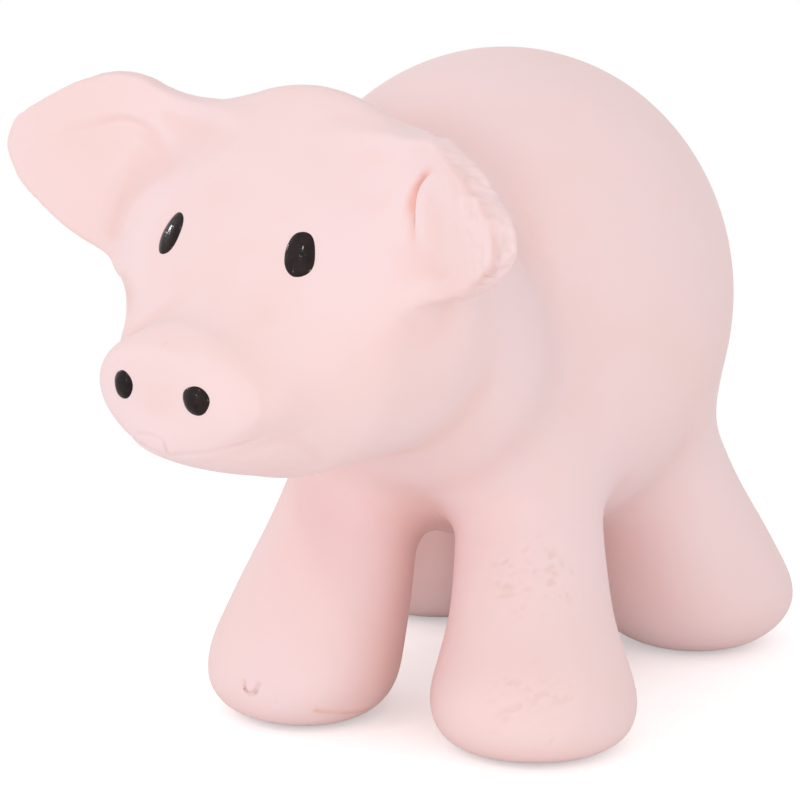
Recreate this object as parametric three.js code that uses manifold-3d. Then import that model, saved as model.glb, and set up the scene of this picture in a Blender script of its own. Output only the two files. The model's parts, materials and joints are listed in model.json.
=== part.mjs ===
// Rubber pig teether: a hollow moulding of natural rubber with two ear flaps that flex, painted eyes
// and nostrils, a plugged pour hole in its belly and a loose rattle ball inside.
// Millimetres, +Z up. The pig faces -Y, its left side is +X, and it stands on its four soles.
import * as THREE from "three";
import { mergeVertices } from "three/addons/utils/BufferGeometryUtils.js";
import Module from "manifold-3d";

// The moulding's wall, and the clearance between neighbouring pieces
const WALL = 3;
const CLEARANCE = 0.3;

// Torso: an egg on four legs
const TORSO_WIDTH = 55.6;
const TORSO_LENGTH = 57;
const TORSO_HEIGHT = 60;
const BELLY_ABOVE_GROUND = 16.7;

// Legs: each tapers from a broad sole to a knee, leans in to the belly and ends in a dome in the torso
const LEG_TOP_BELOW_MIDDLE = 5;
const SOLE_EDGE = 7;
const KNEE_HEIGHT = 22;
const FRONT_SOLE_WIDTH = 23.8;
const FRONT_KNEE_WIDTH = 17.4;
const FRONT_SOLE_SPREAD = 31.6;
const FRONT_TOP_SPREAD = 17.4;
const FRONT_SOLE_BEHIND_CHEST = 1.4;
const FRONT_TOP_BEHIND_CHEST = 15.4;
const HIND_SOLE_WIDTH = 28;
const HIND_KNEE_WIDTH = 21;
const HIND_SOLE_SPREAD = 36.6;
const HIND_TOP_SPREAD = 25;
const HIND_SOLE_BEFORE_RUMP = 7;
const HIND_TOP_BEFORE_RUMP = 23.2;

// Neck and head: the head is turned to the pig's right, and its middle is the middle of the skull
const NECK_WIDTH = 42;
const NECK_HEIGHT = 38;
const NECK_BEHIND_CHEST = 3.6;
const NECK_ABOVE_TORSO = 1;
const HEAD_TURN = 18;
const HEAD_BEFORE_CHEST = 11.2;
const HEAD_ABOVE_TORSO = 8.7;
const HEAD_ASIDE = 5.25;
const SKULL_WIDTH = 47;
const SKULL_HEIGHT = 41;
const NAPE_WIDTH = 44.2;
const NAPE_HEIGHT = 39.6;
const NAPE_BEHIND = 6;

// Face and snout: the cheeks close in to a short snout with a flat oval front and a rounded rim
const CHEEK_WIDTH = 40.6;
const CHEEK_HEIGHT = 33.8;
const CHEEK_AHEAD = 9;
const CHEEK_BELOW = 3.9;
const MUZZLE_WIDTH = 30.6;
const MUZZLE_HEIGHT = 22.4;
const MUZZLE_AHEAD = 14.2;
const MUZZLE_BELOW = 7.4;
const SNOUT_WIDTH = 21.8;
const SNOUT_HEIGHT = 13.6;
const SNOUT_EDGE = 2.2;
const SNOUT_PROUD = 8.9;
const SNOUT_DEPTH = 4.6;
const SNOUT_BELOW = 9.8;

// Eyes and nostrils: domed drops of gloss paint, each in a shallow recess of the skin
const EYE_WIDTH = 3.6;
const EYE_HEIGHT = 5;
const EYE_SPACING = 19.7;
const EYE_ABOVE_MIDDLE = 5.3;
const NOSTRIL_WIDTH = 3.2;
const NOSTRIL_SPACING = 11.2;
const NOSTRIL_ABOVE_SNOUT_MIDDLE = 0.7;
const DROP_THICKNESS = 2;
const DROP_PROUD = 0.65;

// Ears: leaf-shaped flaps that flex about a line along their roots
const EAR_LENGTH = 20.5;
const EAR_ROOT_HEIGHT = 22;
const EAR_THICKNESS = 3;
const EAR_EDGE = 0.8;
const EAR_CUP = 2.6;
const EAR_BEHIND_MIDDLE = -2.9;
const EAR_ABOVE_MIDDLE = 8.4;
const EAR_SWEEP = 22;
const EAR_RISE = 7;
const EAR_ROOT_LEAN = 12;
const EAR_FLEX_BACK = 30;
const EAR_FLEX_FORWARD = 30;

// Tail: a small curl laid on the rump
const TAIL_CURL_WIDTH = 8.4;
const TAIL_THICKNESS = 3.6;
const TAIL_ABOVE_MIDDLE = 7;

// Pour hole in the belly, closed by a stepped rubber plug
const POUR_HOLE_WIDTH = 9;
const PLUG_FLANGE_WIDTH = 13;
const PLUG_FLANGE_THICKNESS = 1.6;

// Rattle: two plastic half shells with a lip joint, and steel beads inside
const RATTLE_WIDTH = 22;
const RATTLE_WALL = 2;
const RATTLE_LIP = 1.6;
const BEAD_WIDTH = 4;
const BEADS_IN_RING = 5;
const BEAD_RING_WIDTH = 9.2;

// Facets round each form, fewer on the inner wall than on the skin
const FACETS_OUTSIDE = 32;
const FACETS_INSIDE = 18;
const FACETS_SMALL = 20;
const FACETS_TINY = 14;
const RINGS_OUTSIDE = 44;
const RINGS_INSIDE = 30;

const wasm = await Module();
wasm.setup();

const middle = new THREE.Vector3(0, 0, BELLY_ABOVE_GROUND + TORSO_HEIGHT / 2);
const chestY = -TORSO_LENGTH / 2;
const rumpY = TORSO_LENGTH / 2;

// A closed geometry as a solid that can be joined and cut
function solid(geometry) {
  const bare = new THREE.BufferGeometry();
  bare.setAttribute("position", geometry.attributes.position);
  bare.setIndex(geometry.index);
  const merged = mergeVertices(bare, 1e-4);
  const triVerts = new Uint32Array(merged.index.array);
  return new wasm.Manifold(
    new wasm.Mesh({ numProp: 3, vertProperties: merged.attributes.position.array, triVerts }),
  );
}

// A solid as a geometry again
function geometryOf(made) {
  const { vertProperties, triVerts } = made.getMesh();
  const geometry = new THREE.BufferGeometry();
  geometry.setAttribute("position", new THREE.BufferAttribute(vertProperties, 3));
  geometry.setIndex(new THREE.BufferAttribute(triVerts, 1));
  geometry.computeVertexNormals();
  return geometry;
}

const join = (solids) => solids.reduce((whole, next) => whole.add(next));

// A profile of [radius, height] points turned about Z
function turned(points, around) {
  const profile = points.map(([radius, height]) => new THREE.Vector2(radius, height));
  return new THREE.LatheGeometry(profile, around).rotateX(Math.PI / 2);
}

// Points of a quarter round in a profile, from one angle to another in degrees
function round(radius, height, size, from, to, steps = 4) {
  return Array.from({ length: steps + 1 }, (_, i) => {
    const angle = THREE.MathUtils.degToRad(from + ((to - from) * i) / steps);
    return [radius + size * Math.cos(angle), height + size * Math.sin(angle)];
  });
}

// A leg with a flat sole on the ground, leaning from its sole to its top in the torso
function leg(soleWidth, kneeWidth, soleAt, topAt, inset) {
  const top = middle.z - LEG_TOP_BELOW_MIDDLE;
  const sole = soleWidth / 2 - inset;
  const knee = kneeWidth / 2 - inset;
  const edge = Math.max(SOLE_EDGE - inset, CLEARANCE);
  const domeHeight = top - KNEE_HEIGHT;
  const taper = new THREE.QuadraticBezierCurve(
    new THREE.Vector2(sole, inset + edge),
    new THREE.Vector2(knee, (inset + edge + KNEE_HEIGHT) / 2),
    new THREE.Vector2(knee, KNEE_HEIGHT),
  );
  const dome = round(0, 0, 1, 0, 90, 5).map(([x, y]) => [x * knee, KNEE_HEIGHT + y * domeHeight]);
  const profile = [
    [0, inset],
    ...round(sole - edge, inset + edge, edge, -90, 0),
    ...taper.getPoints(4).slice(1, -1).map((point) => point.toArray()),
    ...dome.slice(0, -1),
    [0, top],
  ];
  const lean = topAt.clone().sub(soleAt).divideScalar(top);
  const shear = new THREE.Matrix4().makeShear(0, 0, 0, 0, lean.x, lean.y);
  const shape = turned(profile, inset > 0 ? FACETS_TINY : FACETS_SMALL);
  return shape.applyMatrix4(shear).translate(soleAt.x, soleAt.y, 0);
}

function legs(inset) {
  const frontSoleY = chestY + FRONT_SOLE_BEHIND_CHEST;
  const frontTopY = chestY + FRONT_TOP_BEHIND_CHEST;
  const hindSoleY = rumpY - HIND_SOLE_BEFORE_RUMP;
  const hindTopY = rumpY - HIND_TOP_BEFORE_RUMP;
  return [0.5, -0.5].flatMap((side) => [
    leg(
      FRONT_SOLE_WIDTH,
      FRONT_KNEE_WIDTH,
      new THREE.Vector2(side * FRONT_SOLE_SPREAD, frontSoleY),
      new THREE.Vector2(side * FRONT_TOP_SPREAD, frontTopY),
      inset,
    ),
    leg(
      HIND_SOLE_WIDTH,
      HIND_KNEE_WIDTH,
      new THREE.Vector2(side * HIND_SOLE_SPREAD, hindSoleY),
      new THREE.Vector2(side * HIND_TOP_SPREAD, hindTopY),
      inset,
    ),
  ]);
}

// The head's own frame: its origin is the middle of the skull and it faces -Y before it is turned
const headAt = new THREE.Vector3(
  -HEAD_ASIDE,
  chestY - HEAD_BEFORE_CHEST,
  middle.z + HEAD_ABOVE_TORSO,
);
const head = new THREE.Group();
head.position.copy(headAt);
head.rotation.z = THREE.MathUtils.degToRad(-HEAD_TURN);
head.updateMatrixWorld(true);

// The torso, neck and head in sections from the rump to the snout, drawn in by an inset all round.
// Each section is an oval: its middle, half its width, half its height and the turn of its plane.
const TORSO_SECTIONS = [0, 9, 20, 33, 48, 66, 86, 104, 120];
const snoutFrontY = -MUZZLE_AHEAD - SNOUT_PROUD;

function snoutSections() {
  const shown = round(0, 0, SNOUT_EDGE, 0, 90, 2).map(([out, ahead]) => [
    snoutFrontY + SNOUT_EDGE - ahead,
    -SNOUT_BELOW,
    SNOUT_WIDTH - 2 * (SNOUT_EDGE - out),
    SNOUT_HEIGHT - 2 * (SNOUT_EDGE - out),
  ]);
  const back = [snoutFrontY + SNOUT_DEPTH, -SNOUT_BELOW, SNOUT_WIDTH, SNOUT_HEIGHT];
  return [back, ...shown, [snoutFrontY, -SNOUT_BELOW, 0, 0]];
}

// The hollow ends in the muzzle, one wall ahead of its section, and the snout is solid
function hollowEnd(inset) {
  return [[-MUZZLE_AHEAD - inset, -SNOUT_BELOW, 2 * inset, 2 * inset]];
}

function sections(inset) {
  const list = TORSO_SECTIONS.map((degrees) => {
    const angle = THREE.MathUtils.degToRad(degrees);
    return {
      at: new THREE.Vector3(0, (TORSO_LENGTH / 2 - inset) * Math.cos(angle), middle.z),
      width: (TORSO_WIDTH / 2 - inset) * Math.sin(angle),
      height: (TORSO_HEIGHT / 2 - inset) * Math.sin(angle),
      turn: 0,
    };
  });
  list.push({
    at: new THREE.Vector3(-HEAD_ASIDE / 2, chestY + NECK_BEHIND_CHEST, middle.z + NECK_ABOVE_TORSO),
    width: NECK_WIDTH / 2 - inset,
    height: NECK_HEIGHT / 2 - inset,
    turn: head.rotation.z / 2,
  });
  const inHead = [
    [NAPE_BEHIND, 0, NAPE_WIDTH, NAPE_HEIGHT],
    [0, 0, SKULL_WIDTH, SKULL_HEIGHT],
    [-CHEEK_AHEAD, -CHEEK_BELOW, CHEEK_WIDTH, CHEEK_HEIGHT],
    [-MUZZLE_AHEAD, -MUZZLE_BELOW, MUZZLE_WIDTH, MUZZLE_HEIGHT],
  ];
  inHead.push(...(inset > 0 ? hollowEnd(inset) : snoutSections()));
  for (const [y, z, width, height] of inHead) {
    list.push({
      at: head.localToWorld(new THREE.Vector3(0, y, z)),
      width: width > 0 ? width / 2 - inset : 0,
      height: height > 0 ? height / 2 - inset : 0,
      turn: head.rotation.z,
    });
  }
  return list;
}

// A ball whose rings are drawn out into the sections, smoothly from one to the next
function loft(list, around, rings) {
  const path = new THREE.CatmullRomCurve3(list.map((section) => section.at));
  const sizes = list.map(({ width, height, turn }) => new THREE.Vector3(width, height, turn));
  const swell = new THREE.CatmullRomCurve3(sizes);
  const ball = new THREE.SphereGeometry(1, around, rings);
  const points = ball.attributes.position;
  const point = new THREE.Vector3();
  for (let i = 0; i < points.count; i += 1) {
    point.fromBufferAttribute(points, i);
    const t = Math.acos(THREE.MathUtils.clamp(point.y, -1, 1)) / Math.PI;
    const flat = Math.hypot(point.x, point.z) || 1;
    const size = swell.getPoint(t);
    const across = (point.x / flat) * size.x;
    point.set(across * Math.cos(size.z), across * Math.sin(size.z), (point.z / flat) * size.y);
    point.add(path.getPoint(t));
    points.setXYZ(i, ...point);
  }
  return ball;
}

// The tail: a ring half sunk in the rump
function tail() {
  const across = TAIL_CURL_WIDTH / 2 - TAIL_THICKNESS / 2;
  const ring = new THREE.TorusGeometry(across, TAIL_THICKNESS / 2, FACETS_TINY, FACETS_SMALL);
  const rise = Math.asin(TAIL_ABOVE_MIDDLE / (TORSO_HEIGHT / 2));
  const out = new THREE.Vector3(
    0,
    (TORSO_LENGTH / 2) * Math.cos(rise),
    (TORSO_HEIGHT / 2) * Math.sin(rise),
  );
  ring.rotateX(-Math.PI / 2 + rise);
  return ring.translate(0, out.y, middle.z + out.z);
}

// The skin of the moulding, and its hollow: the same forms drawn in by the wall
const lofted = loft(sections(0), FACETS_OUTSIDE, RINGS_OUTSIDE);
const loftedHollow = loft(sections(WALL), FACETS_INSIDE, RINGS_INSIDE);
const skin = join([lofted, ...legs(0), tail()].map(solid));
const hollow = join([loftedHollow, ...legs(WALL)].map(solid));

// Where a line in the head's frame first meets the skin, and the way the skin faces there
const skinMesh = new THREE.Mesh(geometryOf(skin));
function onHead(from, towards) {
  const start = head.localToWorld(from.clone());
  const way = towards.clone().transformDirection(head.matrixWorld);
  const [hit] = new THREE.Raycaster(start, way).intersectObject(skinMesh);
  const inverse = head.matrixWorld.clone().invert();
  return {
    point: hit.point.clone().applyMatrix4(inverse),
    normal: hit.face.normal.clone().transformDirection(inverse),
  };
}

// A paint drop on the face: its frame on the skin, with Z along the way the skin faces
const AHEAD_OF_FACE = 2 * snoutFrontY;
const FORWARD_TO_BACK = new THREE.Vector3(0, 1, 0);
const UP = new THREE.Vector3(0, 0, 1);

function dropPlace(x, z) {
  const { point, normal } = onHead(new THREE.Vector3(x, AHEAD_OF_FACE, z), FORWARD_TO_BACK);
  const across = new THREE.Vector3().crossVectors(UP, normal).normalize();
  const up = new THREE.Vector3().crossVectors(normal, across);
  const place = new THREE.Group();
  place.quaternion.setFromRotationMatrix(new THREE.Matrix4().makeBasis(across, up, normal));
  place.position.copy(point).addScaledVector(normal, DROP_PROUD - DROP_THICKNESS / 2);
  head.add(place);
  place.updateMatrixWorld(true);
  return place;
}

function drop(width, height, grow = 0) {
  const ball = new THREE.SphereGeometry(1, FACETS_TINY, FACETS_TINY / 2);
  return ball.scale(width / 2 + grow, height / 2 + grow, DROP_THICKNESS / 2 + grow);
}

// An ear's own frame: Y runs up the flap's root, which leans in at the top, and the flap flexes about it
function earPlace(side) {
  const beside = new THREE.Vector3(2 * side * SKULL_WIDTH, EAR_BEHIND_MIDDLE, EAR_ABOVE_MIDDLE);
  const root = onHead(beside, new THREE.Vector3(-side, 0, 0)).point;
  const sweep = THREE.MathUtils.degToRad(EAR_SWEEP);
  const rise = THREE.MathUtils.degToRad(EAR_RISE);
  const along = new THREE.Vector3(
    side * Math.cos(rise) * Math.cos(sweep),
    -Math.cos(rise) * Math.sin(sweep),
    Math.sin(rise),
  );
  const face = new THREE.Vector3().crossVectors(along, UP).normalize();
  const up = new THREE.Vector3().crossVectors(face, along);
  const place = new THREE.Group();
  place.quaternion.setFromRotationMatrix(new THREE.Matrix4().makeBasis(along, up, face));
  place.rotateZ(THREE.MathUtils.degToRad(EAR_ROOT_LEAN));
  place.position.copy(root);
  head.add(place);
  place.updateMatrixWorld(true);
  return place;
}

// A flap in its own frame: a leaf with rims that cup forward
function leafOf(side) {
  const half = EAR_ROOT_HEIGHT / 2;
  const inside = -SKULL_WIDTH / 4;
  const leaf = new THREE.Shape();
  const point = (along, up) => [along * EAR_LENGTH, up * half];
  leaf.moveTo(inside, -0.75 * half);
  leaf.lineTo(0, -0.88 * half);
  leaf.bezierCurveTo(...point(0.35, -0.8), ...point(0.7, -0.62), ...point(0.86, -0.42));
  leaf.bezierCurveTo(...point(0.98, -0.26), ...point(1.02, 0), ...point(1, 0.16));
  leaf.bezierCurveTo(...point(0.98, 0.34), ...point(0.9, 0.46), ...point(0.82, 0.58));
  leaf.bezierCurveTo(...point(0.6, 0.95), ...point(0.38, 1.2), ...point(0, 1));
  leaf.lineTo(inside, 0.7 * half);
  const geometry = new THREE.ExtrudeGeometry(leaf, {
    depth: EAR_THICKNESS - 2 * EAR_EDGE,
    bevelThickness: EAR_EDGE,
    bevelSize: EAR_EDGE,
    bevelOffset: -EAR_EDGE,
    bevelSegments: 2,
    curveSegments: 6,
    steps: 1,
  }).translate(0, 0, EAR_EDGE - EAR_THICKNESS / 2);
  const points = geometry.attributes.position;
  for (let i = 0; i < points.count; i += 1) {
    const out = THREE.MathUtils.clamp(points.getX(i) / EAR_LENGTH, 0, 1);
    const aside = points.getY(i) / half;
    points.setZ(i, points.getZ(i) + side * EAR_CUP * out * aside * aside);
  }
  return geometry.rotateZ(-THREE.MathUtils.degToRad(EAR_ROOT_LEAN));
}

// The flap with its root trimmed clear of the head at steps over the whole of its flex
function ear(side, place) {
  const toEar = place.matrixWorld.clone().invert();
  const steps = [-EAR_FLEX_BACK, -EAR_FLEX_BACK / 2, 0, EAR_FLEX_FORWARD / 2, EAR_FLEX_FORWARD];
  const heads = steps.map((angle) =>
    solid(
      loft(sections(-CLEARANCE), FACETS_OUTSIDE, RINGS_OUTSIDE)
        .applyMatrix4(toEar)
        .rotateY(THREE.MathUtils.degToRad(side * angle)),
    ),
  );
  return geometryOf(solid(leafOf(side)).subtract(join(heads)));
}

// The pour hole and the flat seat of the plug's flange round its inner end
const innerFloor = BELLY_ABOVE_GROUND + WALL;
const holeDepth = 2 * WALL;
const pourHole = turned(
  [
    [0, BELLY_ABOVE_GROUND - holeDepth],
    [POUR_HOLE_WIDTH / 2, BELLY_ABOVE_GROUND - holeDepth],
    [POUR_HOLE_WIDTH / 2, innerFloor],
    [PLUG_FLANGE_WIDTH / 2 + CLEARANCE, innerFloor],
    [PLUG_FLANGE_WIDTH / 2 + CLEARANCE, innerFloor + holeDepth],
    [0, innerFloor + holeDepth],
  ],
  FACETS_SMALL,
);

const flangeUnder = innerFloor + CLEARANCE;
const flangeTop = flangeUnder + PLUG_FLANGE_THICKNESS;
const plug = turned(
  [
    [0, BELLY_ABOVE_GROUND + CLEARANCE],
    [POUR_HOLE_WIDTH / 2 - CLEARANCE, BELLY_ABOVE_GROUND + CLEARANCE],
    [POUR_HOLE_WIDTH / 2 - CLEARANCE, flangeUnder],
    [PLUG_FLANGE_WIDTH / 2, flangeUnder],
    [PLUG_FLANGE_WIDTH / 2, flangeTop],
    [0, flangeTop],
  ],
  FACETS_SMALL,
);

// The rattle ball, with its middle at the origin: the lower half's lip stands inside the upper half
const rattleRadius = RATTLE_WIDTH / 2;
const rattleInside = rattleRadius - RATTLE_WALL;
const lipOutside = rattleInside + (RATTLE_WALL - CLEARANCE) / 2;
const lipTop = RATTLE_LIP + CLEARANCE;
const lipAngle = THREE.MathUtils.radToDeg(Math.asin(lipTop / rattleInside));
const seamAngle = THREE.MathUtils.radToDeg(Math.asin(CLEARANCE / rattleRadius));
const onAxis = (points, end) => points.map((point, i) => (i === end ? [0, point[1]] : point));
const rattleSteps = 7;

const rattleLower = turned(
  [
    ...onAxis(round(0, 0, rattleRadius, -90, 0, rattleSteps), 0),
    [lipOutside, 0],
    [lipOutside, RATTLE_LIP],
    [rattleInside, RATTLE_LIP],
    ...onAxis(round(0, 0, rattleInside, 0, -90, rattleSteps), rattleSteps),
  ],
  FACETS_SMALL,
);
const rattleUpper = turned(
  [
    ...onAxis(round(0, 0, rattleInside, 90, lipAngle, rattleSteps), 0),
    [lipOutside + CLEARANCE, lipTop],
    [lipOutside + CLEARANCE, CLEARANCE],
    ...onAxis(round(0, 0, rattleRadius, seamAngle, 90, rattleSteps), rattleSteps),
  ],
  FACETS_SMALL,
);

// The assembly: each piece is a named mesh with a material of its own
const pig = new THREE.Group();
const RUBBER = { color: 0xefcfcd, roughness: 0.62, metalness: 0 };
const PAINT = { color: 0x1a1716, roughness: 0.18, metalness: 0 };
const PLASTIC = { color: 0xe9e6df, roughness: 0.45, metalness: 0 };
const STEEL = { color: 0xb9bcc0, roughness: 0.3, metalness: 1 };

function piece(name, geometry, finish, parent) {
  const mesh = new THREE.Mesh(geometry, new THREE.MeshStandardMaterial(finish));
  mesh.name = name;
  parent.add(mesh);
  return mesh;
}

const sides = [
  ["left", 1],
  ["right", -1],
];
const cuts = [solid(pourHole)];
const nostrilZ = NOSTRIL_ABOVE_SNOUT_MIDDLE - SNOUT_BELOW;
for (const [word, side] of sides) {
  const earRoot = earPlace(side);
  earRoot.name = `ear_${word}_root`;
  piece(`ear_${word}`, ear(side, earRoot), RUBBER, earRoot);

  const drops = [
    ["eye", EYE_WIDTH, EYE_HEIGHT, dropPlace((side * EYE_SPACING) / 2, EYE_ABOVE_MIDDLE)],
    ["nostril", NOSTRIL_WIDTH, NOSTRIL_WIDTH, dropPlace((side * NOSTRIL_SPACING) / 2, nostrilZ)],
  ];
  for (const [kind, width, height, place] of drops) {
    piece(`${kind}_${word}`, drop(width, height), PAINT, place);
    cuts.push(solid(drop(width, height, CLEARANCE).applyMatrix4(place.matrixWorld)));
  }
}
pig.add(head);
piece("rubber_body", geometryOf(skin.subtract(hollow).subtract(join(cuts))), RUBBER, pig);
piece("pour_hole_plug", plug, RUBBER, pig);

// The rattle lies on the plug's flange, and its beads lie in the lower half
const rattle = new THREE.Group();
rattle.name = "rattle";
rattle.position.z = flangeTop + CLEARANCE + rattleRadius;
pig.add(rattle);
piece("rattle_shell_lower", rattleLower, PLASTIC, rattle);
piece("rattle_shell_upper", rattleUpper, PLASTIC, rattle);
const beadPath = rattleInside - BEAD_WIDTH / 2 - CLEARANCE;
for (let i = 0; i <= BEADS_IN_RING; i += 1) {
  const across = i === 0 ? 0 : BEAD_RING_WIDTH / 2;
  const angle = (2 * Math.PI * i) / BEADS_IN_RING;
  const below = Math.sqrt(beadPath ** 2 - across ** 2);
  const ball = new THREE.SphereGeometry(BEAD_WIDTH / 2, FACETS_TINY, FACETS_TINY / 2);
  const bead = piece(`rattle_bead_${i + 1}`, ball, STEEL, rattle);
  bead.position.set(across * Math.cos(angle), across * Math.sin(angle), -below);
}

// The part's origin is the middle of its footprint, on the ground
const extent = new THREE.Box3().setFromObject(pig, true);
const footprint = extent.getCenter(new THREE.Vector3());
pig.position.set(-footprint.x, -footprint.y, -extent.min.z);

export default pig;
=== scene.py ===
import json
import math

import bmesh
import bpy
import numpy as np
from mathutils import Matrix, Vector


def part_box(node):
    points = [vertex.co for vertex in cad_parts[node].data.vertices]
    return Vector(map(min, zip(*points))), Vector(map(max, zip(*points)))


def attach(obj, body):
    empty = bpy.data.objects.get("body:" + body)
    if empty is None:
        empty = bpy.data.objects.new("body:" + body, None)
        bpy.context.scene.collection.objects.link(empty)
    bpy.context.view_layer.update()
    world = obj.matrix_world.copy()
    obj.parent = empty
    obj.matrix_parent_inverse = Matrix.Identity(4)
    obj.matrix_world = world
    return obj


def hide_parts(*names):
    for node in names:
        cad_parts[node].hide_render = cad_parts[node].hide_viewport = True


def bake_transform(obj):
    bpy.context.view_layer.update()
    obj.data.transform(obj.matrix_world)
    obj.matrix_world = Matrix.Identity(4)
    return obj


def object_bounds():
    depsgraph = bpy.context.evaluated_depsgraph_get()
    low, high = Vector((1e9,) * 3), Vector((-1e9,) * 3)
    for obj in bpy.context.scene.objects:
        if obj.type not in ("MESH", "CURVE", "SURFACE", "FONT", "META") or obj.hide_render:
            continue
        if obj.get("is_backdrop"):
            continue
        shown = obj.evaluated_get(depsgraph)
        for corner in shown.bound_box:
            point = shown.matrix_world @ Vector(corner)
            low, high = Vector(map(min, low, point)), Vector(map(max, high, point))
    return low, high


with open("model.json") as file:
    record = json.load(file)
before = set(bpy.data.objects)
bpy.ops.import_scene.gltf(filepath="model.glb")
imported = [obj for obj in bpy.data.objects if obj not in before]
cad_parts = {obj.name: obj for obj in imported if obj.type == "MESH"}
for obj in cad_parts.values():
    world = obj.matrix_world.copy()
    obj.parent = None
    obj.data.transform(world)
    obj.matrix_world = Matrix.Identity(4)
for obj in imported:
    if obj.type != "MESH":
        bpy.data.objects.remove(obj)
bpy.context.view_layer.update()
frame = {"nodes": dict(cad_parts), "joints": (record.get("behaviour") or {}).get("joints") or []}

# The moulding: torso, neck, head, snout, legs and tail are one hollow casting of pale pink natural
# rubber. The latex sets against the mould, and its rims and soles are trimmed and rubbed by hand.
# Sizes are in millimetres, the pig faces -Y and its left side is +X.
MM = 0.001
UP = np.array([0.0, 0.0, 1.0])


def middle_of(node):
    """The middle of a node's box, in millimetres."""
    low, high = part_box(node)
    return np.array((low + high) / 2) / MM


def smooth_join(one, other, blend):
    """The distance to two joined forms, with the corner between them filled over the blend's width."""
    near = np.maximum(blend - np.abs(one - other), 0) / blend
    return np.minimum(one, other) - near * near * blend / 4


def smooth_cut(one, other, blend):
    """The distance to what two forms share, with a rounded edge."""
    return -smooth_join(-one, -other, blend)


def ease(value, start, end):
    """0 before the start, 1 after the end and a smooth step between them."""
    share = np.clip((value - start) / (end - start), 0, 1)
    return share * share * (3 - 2 * share)


def smooth_line(stations, values, soften, fine=0.1):
    """A function through values at stations along a line, with its corners softened."""
    order = np.argsort(stations)
    places = np.arange(min(stations) - 4 * soften, max(stations) + 4 * soften, fine)
    levels = np.interp(places, np.array(stations)[order], np.array(values)[order])
    reach = np.arange(-3 * soften, 3 * soften + fine, fine)
    weights = np.exp(-((reach / soften) ** 2))
    padded = np.pad(levels, len(reach) // 2, mode="edge")
    smoothed = np.convolve(padded, weights / weights.sum(), mode="valid")[: len(places)]
    return lambda at: np.interp(at, places, smoothed)


def inside_only(field, points, middle, reach, far=60.0):
    """A field at the points within reach of a place, and a far distance everywhere else."""
    found = np.full(len(points), far)
    close = (np.abs(points - middle) < reach).all(1)
    if close.any():
        found[close] = field(points[close])
    return found


def to_side(places, start, end):
    """The distance to a straight side from its start to its end, and the share of the way along it."""
    side, place = end - start, places - start
    share = np.clip(place @ side / (side @ side), 0, 1)
    return np.linalg.norm(place - share[:, None] * side, axis=1), share


def to_path(points, path):
    """The distance to a line through the path's points, and the share of the way along it."""
    nearest = np.full(len(points), np.inf)
    along = np.zeros(len(points))
    for k in range(len(path) - 1):
        away, share = to_side(points, path[k], path[k + 1])
        along = np.where(away < nearest, (k + share) / (len(path) - 1), along)
        nearest = np.minimum(nearest, away)
    return nearest, along


def mottle(points, size, seed):
    """Smooth noise from -1 to 1 with bumps of about a size, the same on every run."""
    scaled = points / size + 31.7 * seed
    cell = np.floor(scaled).astype(np.int64)
    share = scaled - cell
    share = share * share * (3 - 2 * share)
    total = np.zeros(len(points))
    for corner in np.ndindex(2, 2, 2):
        x, y, z = (cell + corner).T
        mixed = (x * 73856093) ^ (y * 19349663) ^ (z * 83492791)
        mixed = (mixed ^ (mixed >> 13)) * 1274126177
        value = ((mixed ^ (mixed >> 16)) & 0xFFFF) / 0x7FFF - 1
        total += value * np.prod(np.where(corner, share, 1 - share), axis=1)
    return total


TORSO_MIDDLE_HEIGHT = 46.7
TORSO_RADII = np.array([27.8, 28.4, 29.88])
TORSO_AT = middle_of("pour_hole_plug")
TORSO_AT[2] = TORSO_MIDDLE_HEIGHT


def egg(place, radii):
    """The distance to an egg round the origin, from its three radii."""
    far = np.linalg.norm(place / radii, axis=1)
    return far * (far - 1) / np.maximum(np.linalg.norm(place / radii**2, axis=1), 1e-6)


# Each leg: where its sole stands from the torso's middle, where its top ends, and its radii at heights
LEG_TOP = 40.0
LEG_DOME = 9.0
LEG_BLEND = 5.0
LEG_HEIGHTS = (0.0, 6.0, 14.0, 23.0, 32.0)
LEG_SOFTEN = 3.0
SOLE_EDGE = 8.1
SOLE_EDGE_LEAN = 0.4
LEGS = (
    ((16.4, -27.3), (8.7, -13.1), (13.4, 12.1, 9.4, 8.5, 8.6)),
    ((-15.2, -28.3), (-8.7, -13.1), (12.4, 11.9, 10.6, 8.6, 7.6)),
    ((18.8, 22.1), (12.5, 5.3), (11.7, 14.1, 12.6, 10.3, 9.4)),
    ((-17.8, 20.8), (-12.5, 5.3), (11.7, 14.1, 12.6, 10.3, 9.4)),
)
leg_lines = [smooth_line(LEG_HEIGHTS, radii, LEG_SOFTEN) for sole, top, radii in LEGS]


def leg(points, sole, top, radius_at):
    """A leaning cone with a domed top and a flat sole, rounder where the leg leans out over its edge."""
    height = points[:, 2]
    lean = np.array(sole) - np.array(top)
    share = np.clip(height / LEG_TOP, 0, 1)[:, None]
    aside = points[:, :2] - TORSO_AT[:2] - np.array(sole) + share * lean
    far = np.linalg.norm(aside, axis=1)
    domed = smooth_cut(far - radius_at(height), height - LEG_TOP, LEG_DOME)
    outward = aside @ lean / np.linalg.norm(lean) / np.maximum(far, 1e-6)
    return smooth_cut(domed, -height, SOLE_EDGE * (1 + SOLE_EDGE_LEAN * outward))


HEAD_AT = TORSO_AT + np.array([-5.25, -39.74, 8.7])
HEAD_TURN = math.radians(18)
HEAD_ACROSS = np.array([math.cos(HEAD_TURN), -math.sin(HEAD_TURN), 0.0])
HEAD_BACK = np.array([math.sin(HEAD_TURN), math.cos(HEAD_TURN), 0.0])
HEAD_AXES = np.stack([HEAD_ACROSS, HEAD_BACK, UP], 1)

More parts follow.
